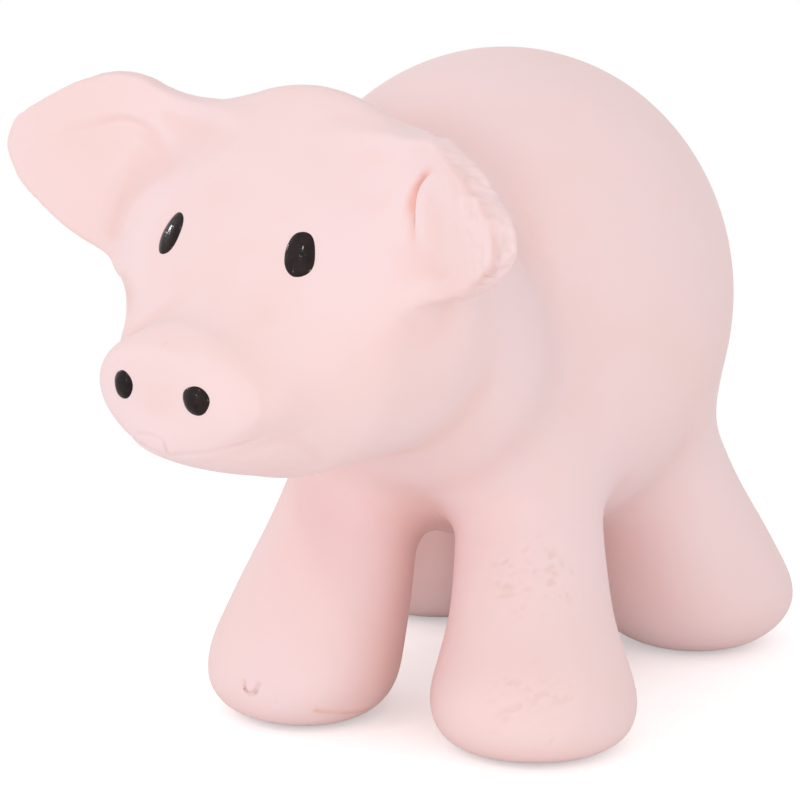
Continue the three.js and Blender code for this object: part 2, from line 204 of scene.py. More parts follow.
# The head in sections from the neck to the muzzle: behind its middle, half width, top and bottom
HEAD_SECTIONS = (
    (22.0, 18.0, 4.0, -26.0),
    (13.0, 21.0, 11.0, -25.0),
    (6.0, 22.2, 18.1, -20.6),
    (0.0, 23.8, 21.6, -20.5),
    (-9.0, 20.4, 13.0, -20.9),
    (-14.2, 15.4, 3.8, -18.8),
    (-18.0, 12.6, -2.0, -16.3),
    (-21.0, 9.9, -3.7, -15.6),
)
HEAD_SOFTEN = 1.6
HEAD_BLEND = 8.0
HEAD_REACH = 45.0
NECK_ROUND = 8.0
MUZZLE_END = 20.9
MUZZLE_ROUND = 5.0
LIP_AT = np.array([0.0, -13.9, -14.4])
LIP_RADII = np.array([10.0, 8.6, 4.05])
LIP_BLEND = 3.0
SNOUT_AHEAD = 20.9
SNOUT_ASIDE = 0.7
SNOUT_BELOW = 9.6
SNOUT_RADII = np.array([10.9, 6.4])
SNOUT_HALF_THICK = 2.3
SNOUT_EDGE = 3.4
SNOUT_BLEND = 1.6
SNOUT_TOP_BLEND = 5.5
# Where the snout runs softly into the muzzle: over these shares of its radii, and this far behind its front
SNOUT_SOFT_UP = (-1.1, 0.0)
SNOUT_SOFT_ACROSS = (-0.8, 0.1)
SNOUT_SOFT_BEHIND = (-SNOUT_HALF_THICK, 1.0)
stations = [section[0] for section in HEAD_SECTIONS]
head_width, head_top, head_bottom = (
    smooth_line(stations, [section[k] for section in HEAD_SECTIONS], HEAD_SOFTEN) for k in (1, 2, 3)
)


def in_head(points):
    """Places in the head's own frame: across, behind and above the skull's middle."""
    return (points - HEAD_AT) @ HEAD_AXES


def oval_tube(place):
    """About the distance to the tube through the head's sections."""
    half_width = head_width(place[:, 1])
    top, bottom = head_top(place[:, 1]), head_bottom(place[:, 1])
    half_height = (top - bottom) / 2
    across = place[:, 0] / half_width
    above = (place[:, 2] - (top + bottom) / 2) / half_height
    return (np.hypot(across, above) - 1) * np.minimum(half_width, half_height)


def slope(field, points, reach=0.05):
    """How fast a field grows along X, Y and Z."""
    steps = reach * np.eye(3)
    return np.stack([(field(points + s) - field(points - s)) / (2 * reach) for s in steps], 1)


def head(points):
    """The distance to the tube of the head with its lip and its snout."""
    place = in_head(points)
    steep = np.linalg.norm(slope(oval_tube, place), axis=1)
    tube = oval_tube(place) / np.maximum(steep, 1)
    tube = smooth_cut(tube, -place[:, 1] - MUZZLE_END, MUZZLE_ROUND)
    tube = smooth_cut(tube, place[:, 1] - stations[0], NECK_ROUND)
    tube = smooth_join(tube, egg(place - LIP_AT, LIP_RADII), LIP_BLEND)
    face = (place[:, [0, 2]] + np.array([SNOUT_ASIDE, SNOUT_BELOW])) / SNOUT_RADII
    around = (np.linalg.norm(face, axis=1) - 1) * SNOUT_RADII.min()
    disc = smooth_cut(around, np.abs(place[:, 1] + SNOUT_AHEAD) - SNOUT_HALF_THICK, SNOUT_EDGE)
    soft = ease(face[:, 1], *SNOUT_SOFT_UP) * ease(face[:, 0], *SNOUT_SOFT_ACROSS)
    soft = soft * ease(place[:, 1] + SNOUT_AHEAD, *SNOUT_SOFT_BEHIND)
    return smooth_join(tube, disc, SNOUT_BLEND + (SNOUT_TOP_BLEND - SNOUT_BLEND) * soft)


# The tail's curl: its height on the rump, its turns, and its radii and thicknesses from root to tip
TAIL_ABOVE = 7.0
TAIL_TURNS = 1.35
TAIL_RADII = (2.5, 0.9)
TAIL_THICK = (1.6, 0.95)
TAIL_LIFT = 0.5
TAIL_BLEND = 0.8
TAIL_REACH = 8.0
tail_rise = math.asin(TAIL_ABOVE / TORSO_RADII[2])
TAIL_AT = TORSO_AT + TORSO_RADII * np.array([0, math.cos(tail_rise), math.sin(tail_rise)])
TAIL_OUT = np.array([0, math.cos(tail_rise), math.sin(tail_rise)])
TAIL_OVER = np.array([0, -math.sin(tail_rise), math.cos(tail_rise)])


def curl(parts=25):
    """The tail's middle line, from its root at the top round to its tip in the middle."""
    share = np.linspace(0, 1, parts)[:, None]
    angle = 2 * math.pi * TAIL_TURNS * share
    radius = TAIL_RADII[0] + (TAIL_RADII[1] - TAIL_RADII[0]) * share
    over, across = radius * np.cos(angle), radius * np.sin(angle)
    lift = TAIL_LIFT * np.sin(math.pi * share)
    return TAIL_AT + over * TAIL_OVER + across * np.array([1.0, 0, 0]) + lift * TAIL_OUT


TAIL_PATH = curl()


def tail(points):
    """The distance to the tail's round, tapering curl."""
    away, along = to_path(points, TAIL_PATH)
    return away - (TAIL_THICK[0] + (TAIL_THICK[1] - TAIL_THICK[0]) * along)


# The pour hole in the belly, which the plug closes
POUR_HOLE_RADIUS = 4.5
POUR_HOLE_DEPTH = 2.4
POUR_HOLE_EDGE = 0.6
POUR_HOLE_REACH = 9.0
POUR_HOLE_AT = TORSO_AT - np.array([0, 0, TORSO_RADII[2]])


def pour_hole(points):
    """The distance to the round hole that is cut up into the belly."""
    away = np.linalg.norm(points[:, :2] - TORSO_AT[:2], axis=1) - POUR_HOLE_RADIUS
    roof = points[:, 2] - (TORSO_AT[2] - TORSO_RADII[2] + POUR_HOLE_DEPTH)
    return smooth_cut(away, roof, POUR_HOLE_EDGE)


def moulding(points):
    """The distance to the skin without its ears, negative inside."""
    whole = egg(points - TORSO_AT, TORSO_RADII)
    for (sole, top, radii), line in zip(LEGS, leg_lines):
        whole = smooth_join(whole, leg(points, sole, top, line), LEG_BLEND)
    whole = smooth_join(whole, inside_only(head, points, HEAD_AT, HEAD_REACH), HEAD_BLEND)
    whole = smooth_join(whole, inside_only(tail, points, TAIL_AT, TAIL_REACH), TAIL_BLEND)
    hole = inside_only(pour_hole, points, POUR_HOLE_AT, POUR_HOLE_REACH)
    return smooth_cut(whole, -hole, POUR_HOLE_EDGE)


def settle(field, points, rounds=2):
    """Moves points onto a field's surface."""
    for _ in range(rounds):
        steep = slope(field, points)
        steep = steep / np.maximum((steep**2).sum(1), 0.05)[:, None]
        for _ in range(2):
            points = points - field(points)[:, None] * steep
    return points


# The ears: thin leaf-shaped flaps of the same casting, rolled over along the top and cupped in front.
# They are left soft, so each one bends at its root when it is chewed or pushed.
EAR_SWEEP = math.radians(22)
EAR_RISE = math.radians(7)
EAR_CUP = 1.8
EAR_CUP_MOST = 1.4
EAR_LENGTH = 20.0
EAR_HALF_HEIGHT = 11.0
EAR_HALF_THICK = 1.5
EAR_EDGE = 0.9
EAR_PILLOW = 0.35
EAR_BACK_BLEND = 6.0
EAR_MIDDLE = np.array([6.0, 1.0, 3.0])
EAR_ROOM = np.array([22.0, 20.0, 20.0])
EAR_REACH = 32.0
EAR_BEND_START = 3.2
EAR_BEND = 7.0
SLOT_ABOVE = 0.6
SLOT_BELOW = 0.3
ROLL_RISE = (-0.3, 1.1)
ROLL_WIDTH = 3.5
TORN_SPREAD = 4.0
RAGGED_ALL_ROUND = 0.04
# How a root's sweep forward grows towards the cheek
SWEEP_CURVE = smooth_line((0, 0.25, 0.5, 0.75, 1.0, 2.0), (0, 0.06, 0.25, 0.56, 1.0, 1.0), 0.2, 0.02)
# Each flap: its outline as out and up, its fold as out, up and depth, the sweep of its root along the
# cheek as height, how far forward and from how far out, and its ragged places as out, up and how much
LEFT_OUTLINE = (
    (-7.0, -1.0), (1.0, -4.6), (5.0, -6.9), (8.9, -6.9), (12.5, -6.0), (15.5, -4.9), (17.4, -3.4),
    (18.2, -1.6), (17.8, 0.3), (16.6, 1.8), (14.4, 3.6), (12.0, 5.4), (9.5, 6.8), (6.0, 8.2), (2.6, 9.1),
    (-7.0, 7.0),
)
LEFT_FOLD = (
    (2.6, -2.0, 0.0), (2.0, 0.6, 0.2), (1.7, 2.4, 0.9), (1.9, 4.0, 1.1), (2.9, 5.2, 0.5), (4.6, 5.8, 0.15),
    (6.8, 5.9, 0.0),
)
LEFT_SWEEP = (
    (-10.0, 0.0, 8.0), (-6.9, 0.2, 7.0), (-4.4, 0.8, 5.5), (-2.3, 1.2, 4.0), (0.0, 0.8, 3.0),
    (3.0, 0.0, 3.0),
)
LEFT_TORN = ((17.0, -3.0, 0.36), (14.0, 3.5, 0.24), (10.0, 6.0, 0.12))
RIGHT_OUTLINE = (
    (-7.0, -3.0), (0.0, -6.2), (3.6, -8.1), (7.6, -8.5), (11.6, -7.2), (15.4, -5.0), (18.6, -2.6),
    (20.2, 0.0), (20.5, 1.6), (20.0, 3.5), (18.6, 5.3), (14.0, 8.5), (10.8, 10.4), (7.4, 11.6), (4.4, 11.6),
    (1.7, 10.8), (-7.0, 7.0),
)
RIGHT_FOLD = (
    (-1.2, 2.9, 0.0), (-0.5, 4.5, 0.05), (1.1, 5.7, 0.2), (2.4, 6.2, 0.4), (4.4, 6.6, 0.5), (6.2, 6.5, 0.45),
    (9.1, 5.2, 0.2), (13.5, 3.5, 0.0),
)
RIGHT_SWEEP = (
    (-10.0, 9.5, 9.0), (-6.0, 7.1, 9.0), (-4.0, 5.6, 9.0), (-1.7, 3.9, 9.0), (0.3, 2.4, 8.5),
    (3.0, 0.5, 8.0), (6.0, 0.0, 8.0),
)
RIGHT_TORN = ((19.0, 5.0, 0.06), (9.0, 10.5, 0.06))


def rounded(corners, parts=5):
    """A closed outline with its corners rounded, through the same places."""
    before, here = np.roll(corners, 1, axis=0), np.array(corners)
    after, later = np.roll(corners, -1, axis=0), np.roll(corners, -2, axis=0)
    drawn = []
    for share in np.arange(parts) / parts:
        bend = (2 * before - 5 * here + 4 * after - later) * share**2
        twist = (3 * here - before - 3 * after + later) * share**3
        drawn.append((2 * here + (after - before) * share + bend + twist) / 2)
    return np.stack(drawn, 1).reshape(-1, 2)


def left_of(places, start, end):
    """Positive on the left of a side in its plane, and negative on its right."""
    side, place = end - start, places - start
    return side[0] * place[:, 1] - side[1] * place[:, 0]


def to_outline(places, corners):
    """The distance to a closed outline in its plane, negative inside."""
    nearest = np.full(len(places), np.inf)
    inside = np.zeros(len(places), bool)
    for start, end in zip(corners, np.roll(corners, -1, axis=0)):
        nearest = np.minimum(nearest, to_side(places, start, end)[0])
        crosses = (start[1] <= places[:, 1]) != (end[1] <= places[:, 1])
        inside ^= crosses & ((left_of(places, start, end) > 0) == (end[1] > start[1]))
    return np.where(inside, -nearest, nearest)


def beside(places, path):
    """The distance to a line in its plane, positive on its left, and the place along it in sides."""
    nearest = np.full(len(places), np.inf)
    along = np.zeros(len(places))
    for k in range(len(path) - 1):
        away, share = to_side(places, path[k], path[k + 1])
        left = left_of(places, path[k], path[k + 1]) >= 0
        closer = away < np.abs(nearest)
        along = np.where(closer, k + share, along)
        nearest = np.where(closer, np.where(left, away, -away), nearest)
    return nearest, along


class Ear:
    """One flap in its own frame: out from its hinge, up, and to the front."""

    def __init__(self, word, side, outline, fold, roll, sweep, front_blend, torn):
        joint = next(j for j in frame["joints"] if j["child"] == f"ear_{word}")
        self.word = word
        self.outline = rounded(outline)
        steps = np.arange(len(fold))
        lines = [smooth_line(steps, column, 0.5, 0.05) for column in zip(*fold)]
        self.fold = np.stack([line(np.linspace(0, steps[-1], 4 * len(fold))) for line in lines], 1)
        heights, forward, start = zip(*sweep)
        self.forward = smooth_line(heights, forward, 1.5)
        self.sweep_start = smooth_line(heights, start, 1.5)
        self.roll = roll
        self.front_blend = front_blend
        self.torn = torn
        self.root = np.array(joint["pos_m"]) / MM
        out = np.array([side * math.cos(EAR_SWEEP), -math.sin(EAR_SWEEP), math.tan(EAR_RISE)])
        out = HEAD_AXES @ (out / np.linalg.norm(out))
        front = side * np.cross(out, UP)
        up = UP - out * (UP @ out)
        self.axes = np.stack([out, up / np.linalg.norm(up), front / np.linalg.norm(front)], 1)
        hinge = np.array(joint["axis"])
        bend = out - hinge * (hinge @ out)
        self.bend = bend / np.linalg.norm(bend)

    def sides(self, place):
        """The distances past the outline and past the two faces, and how torn the rim is."""
        out, up, ahead = place.T
        torn = sum(
            much * np.exp(-(((out - x) ** 2 + (up - y) ** 2) / TORN_SPREAD**2)) for x, y, much in self.torn
        )
        ragged = mottle(place, 1.3, 7) + 0.6 * mottle(place, 0.7, 9)
        rim = to_outline(place[:, :2], self.outline) + (RAGGED_ALL_ROUND + torn) * ragged
        curve = np.minimum((up / EAR_HALF_HEIGHT) ** 2, EAR_CUP_MOST)
        cupped = EAR_CUP * np.clip(out / EAR_LENGTH, 0, 1) * curve
        start = self.sweep_start(up)
        cupped = cupped + self.forward(up) * SWEEP_CURVE((start - out) / (start + 1))
        front = EAR_HALF_THICK + EAR_PILLOW * ease(-rim, 0.0, 5.0)
        faces = np.maximum(ahead - cupped - front, cupped - EAR_HALF_THICK - ahead)
        return rim, faces + 0.5 * torn * mottle(place, 1.0, 8), torn

    def flap(self, points):
        """The distance to the flap alone, without its fold."""
        rim, faces, torn = self.sides((points - self.root) @ self.axes)
        return smooth_cut(rim, faces, EAR_EDGE)

    def creased(self, points):
        """How far the fold sinks the front of the flap, and how far the rolled rim stands out above it."""
        place = (points - self.root) @ self.axes
        over, along = beside(place[:, :2], self.fold[:, :2])
        depth = np.interp(along, np.arange(len(self.fold)), self.fold[:, 2]) * ease(place[:, 2], -0.5, 0.5)
        slot = np.exp(-((over / np.where(over > 0, SLOT_ABOVE, SLOT_BELOW)) ** 2))
        roll = ease(over, *ROLL_RISE) * np.exp(-((np.maximum(over, 0) / ROLL_WIDTH) ** 2))
        return depth * ((1 - self.roll) * slot - self.roll * roll)

    def trimmed(self, points):
        """How near points are to the sharp edge in front, where the flash was cut off in short lengths."""
        place = (points - self.root) @ self.axes
        rim, faces, torn = self.sides(place)
        near = np.exp(-((rim + 0.3) ** 2 + (faces + 0.3) ** 2) / 0.2)
        return near * np.minimum(3 * torn, 1) * ease(mottle(place, 2.0, 11), -0.5, 0.2) * (place[:, 2] > 0)

    def join(self, points, whole):
        """The moulding with this flap and its fold, with fillets behind it and in front of it."""
        joined = whole.copy()
        close = (np.abs((points - self.root) @ self.axes - EAR_MIDDLE) < EAR_ROOM).all(1)
        near = points[close]
        ahead = (near - self.root) @ self.axes[:, 2]
        blend = EAR_BACK_BLEND + (self.front_blend - EAR_BACK_BLEND) * ease(ahead, -1, 2)
        joined[close] = smooth_join(whole[close], self.flap(near), blend) + self.creased(near)
        return joined

    def beyond(self, points):
        """How far points of this flap are past the place where it starts to bend."""
        close = np.linalg.norm(points - self.root, axis=1) < EAR_REACH
        return np.where(close, (points - self.root) @ self.bend - EAR_BEND_START, -1.0)


ears = (
    Ear("left", 1, LEFT_OUTLINE, LEFT_FOLD, 0.0, LEFT_SWEEP, 7.0, LEFT_TORN),
    Ear("right", -1, RIGHT_OUTLINE, RIGHT_FOLD, 0.8, RIGHT_SWEEP, 7.0, RIGHT_TORN),
)

# The skin: what shows of the casting, from the forms above and the small marks that the mould, the
# trimming knife and rubbing left. The flaps are cut from it where they start to bend.
SKIN_STEP = 0.8
SKIN_BLOCK = 4
SKIN_MARGIN = 3.0


def casting(points):
    """The distance to the whole casting, negative inside."""
    whole = moulding(points)
    for ear in ears:
        whole = ear.join(points, whole)
    return whole


# On the head: across, behind and above its middle. On the feet: from below the torso's middle
MOUTH = np.array([
    (0.6, -22.3, -16.1), (2.7, -22.5, -15.6), (4.7, -22.2, -15.3), (6.4, -21.6, -15.0), (7.7, -21.1, -14.5),
    (8.5, -20.5, -14.1), (9.3, -19.6, -13.6), (10.0, -18.8, -12.9), (10.8, -18.3, -12.4),
])
LIP_MARK = np.array([
    (-3.3, -23.3, -14.1), (-1.2, -23.5, -13.8), (0.5, -23.5, -13.9), (1.0, -23.4, -14.3),
    (0.9, -22.7, -15.8),
])
SNOUT_MARK = np.array([(0.0, -22.8, -4.1), (0.4, -22.3, -3.7)])
FOOT_SCRATCH = np.array([
    (-16.2, -36.9, 6.2), (-16.1, -36.9, 5.3), (-15.4, -37.1, 4.8), (-14.6, -37.1, 5.2), (-14.2, -37.1, 6.3),
])
FOOT_TRIM = np.array([(-7.8, -35.1, 3.5), (-5.4, -32.2, 2.7), (-4.2, -28.9, 2.2)])
SCUFFS = (((16.3, -27.9, 20.3), 6.5), ((19.3, -34.7, 8.2), 6.5))
# The scuffs' flecks lie slantwise: places are squeezed along that way
SCUFF_GRAIN = np.eye(3) - 0.5 * np.outer((0.7, 0.0, 0.7), (0.7, 0.0, 0.7))
MOUTH_DEPTH = 0.16
MARK_DEPTH = 0.16
SCRATCH_DEPTH = 0.22
TRIM_HEIGHT = 0.12
SCUFF_DEPTH = 0.1
# The unevenness of the whole wall: heights, sizes and seeds
WAVES = ((0.05, 9.0, 1), (0.02, 3.5, 2))


def from_below_torso(points):
    """Places from the spot on the ground below the torso's middle."""
    return points - TORSO_AT * (1, 1, 0)


def both_sides(place):
    """Places in the head with its right half folded over onto its left half."""
    return np.column_stack([np.abs(place[:, 0]), place[:, 1:]])


def groove(points, path, width):
    """1 on a line and nothing away from it."""
    away, along = to_path(points, path)
    return np.exp(-((away / width) ** 2))


def scuffed(points):
    """How rubbed the skin is: small flecks within two patches of the front left leg."""
    stood = from_below_torso(points)
    patch = np.zeros(len(points))
    for at, reach in SCUFFS:
        away = np.linalg.norm(stood - np.array(at), axis=1)
        patch = np.maximum(patch, 1 - ease(away, 0.5 * reach, reach))
    flecks = ease(mottle(points @ SCUFF_GRAIN, 0.55, 5), 0.0, 0.7)
    return patch * flecks * ease(mottle(points, 1.9, 6), -0.6, 0.1)


def relief(points):
    """The height of the small marks."""
    place, stood = in_head(points), from_below_torso(points)
    height = sum(much * mottle(points, size, seed) for much, size, seed in WAVES)
    height = height - MOUTH_DEPTH * groove(both_sides(place), MOUTH, 0.4)
    height = height - MARK_DEPTH * (groove(place, LIP_MARK, 0.18) + groove(place, SNOUT_MARK, 0.2))
    height = height - SCRATCH_DEPTH * groove(stood, FOOT_SCRATCH, 0.24)
    return height + TRIM_HEIGHT * groove(stood, FOOT_TRIM, 0.25) - SCUFF_DEPTH * scuffed(points)


def reddened(points):
    """Where a cut shows darker rubber: the lip, the snout, the scratch and the trimmed rims."""
    place, stood = in_head(points), from_below_torso(points)
    cuts = np.maximum(groove(place, LIP_MARK, 0.16), groove(place, SNOUT_MARK, 0.2))
    cuts = np.maximum(cuts, 0.6 * groove(stood, FOOT_SCRATCH, 0.25))
    for ear in ears:
        close = ear.beyond(points) > 0
        cuts[close] = np.maximum(cuts[close], 0.7 * ear.trimmed(points[close]))
    return cuts


def skin(points):
    """The distance to the casting with its small marks."""
    return casting(points) - relief(points)


def in_parts(field, points, size=30000):
    """A field at many points, some at a time."""
    return np.concatenate([field(points[k : k + size]) for k in range(0, len(points), size)])


def skin_of(field, low, high, step, relax=2):
    """The points and four-sided faces of a field's surface in a box, about a step apart."""
    blocks = np.ceil((high - low) / (step * SKIN_BLOCK)).astype(int)
    centres = low + step * SKIN_BLOCK * (np.argwhere(np.ones(blocks)) + 0.5)
    rough = in_parts(field, centres).reshape(blocks)
    for axis in range(3):
        rough = np.repeat(rough, SKIN_BLOCK, axis)
    level = np.pad(rough, ((0, 1),) * 3, mode="edge")
    fine = np.abs(level) < 2 * step * SKIN_BLOCK
    for axis in range(3):
        fine |= np.roll(fine, 1, axis)
    level[fine] = in_parts(field, low + step * np.argwhere(fine))
    counts = level.shape
    inside = level < 0
    filled = sum(
        inside[i : counts[0] - 1 + i, j : counts[1] - 1 + j, k : counts[2] - 1 + k].astype(int)
        for i, j, k in np.ndindex(2, 2, 2)
    )
    mixed = (filled > 0) & (filled < 8)
    number = np.full(mixed.shape, -1)
    number[mixed] = np.arange(mixed.sum())
    points = low + step * (np.argwhere(mixed) + 0.5)
    faces = []
    for axis in range(3):
        one, two = (axis + 1) % 3, (axis + 2) % 3
        before = np.delete(inside, -1, axis)
        after = np.delete(inside, 0, axis)
        edges = np.argwhere(before != after)
        corners = []
        for back_one, back_two in ((1, 1), (0, 1), (0, 0), (1, 0)):
            cell = edges.copy()
            cell[:, one] -= back_one
            cell[:, two] -= back_two
            corners.append(number[tuple(cell.T)])
        quads = np.stack(corners, 1)
        leaving = before[tuple(edges.T)]
        faces.append(np.where(leaving[:, None], quads, quads[:, ::-1]))
    faces = np.concatenate(faces)
    points = settle(field, points)
    ends = np.concatenate([faces[:, [0, 1]], faces[:, [1, 2]], faces[:, [2, 3]], faces[:, [3, 0]]])
    meets = np.bincount(ends[:, 0], minlength=len(points))
    for _ in range(relax):
        moved = [np.bincount(ends[:, 0], points[ends[:, 1], k], len(points)) / meets for k in range(3)]
        points = settle(field, (points + np.stack(moved, 1)) / 2, 1)
    return points, faces


def finer(points, faces, zones):
    """Halves the edges of a mesh whose middles lie in a zone, one zone after the other."""
    made = bmesh.new()
    corners = [made.verts.new(point) for point in points]
    for face in faces:
        made.faces.new([corners[k] for k in face])
    for zone in zones:
        edges = list(made.edges)
        middles = np.array([(edge.verts[0].co + edge.verts[1].co) / 2 for edge in edges])
        chosen = [edges[k] for k in np.flatnonzero(zone(middles))]
        bmesh.ops.subdivide_edges(made, edges=chosen, cuts=1, use_grid_fill=True)
    made.verts.index_update()
    points = np.array([corner.co for corner in made.verts])
    faces = [[corner.index for corner in face.verts] for face in made.faces]
    made.free()
    return points, faces


def small_forms(points):
    """Where the skin has forms of a millimetre or two: the ears, the face, the tail and the hole."""
    near = np.linalg.norm(points - TAIL_AT, axis=1) < TAIL_REACH
    near |= in_head(points)[:, 1] < -9
    near |= np.linalg.norm(points - POUR_HOLE_AT, axis=1) < 7
    stood = from_below_torso(points)
    for at, reach in SCUFFS + ((FOOT_SCRATCH[2], 4.0), (FOOT_TRIM[1], 6.0)):
        near |= np.linalg.norm(stood - np.array(at), axis=1) < reach
    for ear in ears:
        near |= inside_only(ear.flap, points, ear.root, EAR_REACH) < 2
    return near


def marks(points):
    """Where the skin has marks finer than that."""
    place, stood = in_head(points), from_below_torso(points)
    near = to_path(stood, FOOT_SCRATCH)[0] < 1
    near |= to_path(stood, FOOT_TRIM)[0] < 1
    near |= to_path(both_sides(place), MOUTH)[0] < 1.5
    near |= to_path(place, LIP_MARK)[0] < 1.2
    for at, reach in SCUFFS:
        near |= np.linalg.norm(stood - np.array(at), axis=1) < reach
    for ear in ears:
        near |= ear.beyond(points) > -1
    return near


def unit(vectors):
    """The vectors with a length of 1."""
    return vectors / np.maximum(np.linalg.norm(vectors, axis=1, keepdims=True), 1e-9)


def hollow(points, reach):
    """How hollow the skin is within a reach, from 0 on bulges to 1 in its folds."""
    around = [casting(points + reach * step) for step in np.concatenate([np.eye(3), -np.eye(3)])]
    return np.clip(-np.mean(around, axis=0) * 6 / reach, 0, 1)


SHELTER_REACHES = (9.0, 18.0, 27.0)
SHELTER_OPEN = 0.9


def sheltered(points, normals):
    """How much other rubber stands before the skin, from 0 in the open to 1 in its gaps."""
    ahead = [casting(points + reach * normals) / reach for reach in SHELTER_REACHES]
    return np.clip(SHELTER_OPEN - np.mean(ahead, axis=0), 0, 1)


def piece_of(name, points, faces, normals=None, **shares):
    """A smooth mesh object from points in millimetres, with a share for each point by name."""
    mesh = bpy.data.meshes.new(name)
    mesh.from_pydata((points * MM).tolist(), [], [list(face) for face in faces])
    mesh.shade_smooth()
    for word, values in shares.items():
        mesh.attributes.new(word, "FLOAT", "POINT").data.foreach_set("value", values)
    if normals is not None:
        mesh.normals_split_custom_set_from_vertices(normals.tolist())
    made = bpy.data.objects.new(name, mesh)
    bpy.context.scene.collection.objects.link(made)
    return made


class Wire:
    """A node's output socket, so that shader maths reads as sums."""

    def __init__(self, tree, socket=None):
        self.tree = tree
        self.socket = socket

    def node(self, kind, inputs=None, out=0, **settings):
        """A new node with its settings, then its sockets' values or links, as one of its outputs."""
        made = self.tree.nodes.new(kind)
        for name, value in settings.items():
            setattr(made, name, value)
        for name, value in (inputs or {}).items():
            if isinstance(value, Wire):
                self.tree.links.new(value.socket, made.inputs[name])
            else:
                made.inputs[name].default_value = value
        return Wire(self.tree, made.outputs[out])

    def maths(self, operation, *values, clamp=False):
        """A maths node of any operation."""
        return self.node("ShaderNodeMath", dict(enumerate(values)), operation=operation, use_clamp=clamp)

    def __add__(self, other):
        return self.maths("ADD", self, other)

    def __sub__(self, other):
        return self.maths("SUBTRACT", self, other)

    def __mul__(self, other):
        return self.maths("MULTIPLY", self, other)


def linear(red, green, blue):
    """A colour written in 0 to 255 screen values, as Blender's linear one."""
    shares = [value / 255 for value in (red, green, blue)]
    levels = [s / 12.92 if s <= 0.04045 else ((s + 0.055) / 1.055) ** 2.4 for s in shares]
    return (*levels, 1.0)


def new_material(name):
    """A material with its Principled shader, and a wire to build its nodes with."""
    made = bpy.data.materials.new(name)
    made.use_nodes = True
    return made, made.node_tree.nodes["Principled BSDF"], Wire(made.node_tree)


def plug_in(shader, **sockets):
    """Sets or links a shader's sockets, named with _ for a space."""
    for name, value in sockets.items():
        socket = shader.inputs[name.replace("_", " ")]
        if isinstance(value, Wire):
            value.tree.links.new(value.socket, socket)
        else:
            socket.default_value = value


def noise(wire, place, scale, detail=2.0):
    """Soft noise about 0, from about -1 to 1."""
    return (wire.node("ShaderNodeTexNoise", {"Vector": place, "Scale": scale, "Detail": detail}) - 0.5) * 3


def mixed(wire, share, one, other):
    """One colour, or the other where the share is 1."""
    share = share.maths("MULTIPLY", share, 1.0, clamp=True)
    return wire.node("ShaderNodeMix", {0: share, 6: one, 7: other}, out=2, data_type="RGBA")


RUBBER = linear(248, 219, 218)
RUBBER_WARM = linear(247, 213, 207)
RUBBER_COOL = linear(248, 222, 227)
# The colour of the painted shade: a warm darker tint laid into the skin's creases and sheltered gaps
RUBBER_PAINTED_SHADE = linear(242, 184, 172)
RUBBER_RUBBED = linear(235, 203, 195)
RUBBER_CUT = linear(214, 150, 138)
RUBBER_TRIMMED = linear(229, 172, 143)
RUBBER_SPECK = linear(176, 128, 112)
rubber, shader, wire = new_material("pink_natural_rubber")
place = wire.node("ShaderNodeTexCoord", out="Object")
broad = noise(wire, place, 55.0)
fine_grain = noise(wire, place, 420.0)
fold, rubbed, cut, trimmed = (
    wire.node("ShaderNodeAttribute", out="Fac", attribute_name=word)
    for word in ("fold", "rubbed", "cut", "trimmed")
)
cells = wire.node("ShaderNodeTexVoronoi", {"Vector": place, "Scale": 260.0}, out="Distance")
rare = noise(wire, place, 90.0).maths("GREATER_THAN", noise(wire, place, 95.0), 0.72)
speck = cells.maths("LESS_THAN", cells, 0.07) * rare * 0.5
colour = mixed(wire, broad * 0.6, RUBBER, RUBBER_WARM)
colour = mixed(wire, broad * -0.6 + fine_grain * 0.1, colour, RUBBER_COOL)
# Painted shade: the fold attribute mixes in warm shade at the creases and in the gaps between legs, head and
# body
colour = mixed(wire, fold * 0.8, colour, RUBBER_PAINTED_SHADE)
colour = mixed(wire, rubbed * 0.4, colour, RUBBER_RUBBED)
colour = mixed(wire, cut * 0.6, colour, RUBBER_CUT)
colour = mixed(wire, trimmed * 0.7, colour, RUBBER_TRIMMED)
colour = mixed(wire, speck, colour, RUBBER_SPECK)
grain = wire.node("ShaderNodeBump", {"Height": fine_grain, "Strength": 0.05, "Distance": 0.0003})
plug_in(
    shader,
    Base_Color=colour,
    Roughness=broad * 0.04 + fine_grain * 0.03 + 0.6,
    Normal=grain,
    Sheen_Weight=0.05,
)

# The painted shade in the creases and gaps, carried by the fold attribute: the reaches of the hollows that
# show it and how much, and the same for sheltered skin
HOLLOW_PAINTED_SHADE = ((2.0, 1.0), (8.0, 0.45))
SHELTER_PAINTED_SHADE = 0.4
boxes = np.array([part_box(node) for node in frame["nodes"]]) / MM
low, high = boxes[:, 0].min(0) - SKIN_MARGIN, boxes[:, 1].max(0) + SKIN_MARGIN
points, faces = skin_of(casting, low, high, SKIN_STEP)
points, faces = finer(points, faces, (small_forms, marks))
points = settle(skin, points, 1)
points[:, 2] = np.maximum(points[:, 2], 0)
normals = unit(slope(skin, points, 0.1))
# Painted shade: how deep a point lies in a hollow or a sheltered gap sets how much painted shade the fold
# attribute gives it
folds = [much * hollow(points, reach) for reach, much in HOLLOW_PAINTED_SHADE]
shares = {
    "fold": np.maximum.reduce(folds + [SHELTER_PAINTED_SHADE * sheltered(points, normals)]),
    "rubbed": scuffed(points),
    "cut": reddened(points),
    "trimmed": groove(from_below_torso(points), FOOT_TRIM, 0.3),
}
bends = [ear.beyond(points) for ear in ears]
owner = [next((k for k in (0, 1) if max(bends[k][face]) > 0), 2) for face in faces]


def cut_out(name, part):
    """The faces of one part of the skin as a rubber piece of its own."""
    chosen = [face for face, own in zip(faces, owner) if own == part]
    used = np.unique(np.concatenate(chosen))
    number = np.zeros(len(points), int)
    number[used] = np.arange(len(used))
    worn = {word: values[used] for word, values in shares.items()}
    made = piece_of(name, points[used], [number[face] for face in chosen], normals[used], **worn)
    made.data.materials.append(rubber)
    return made


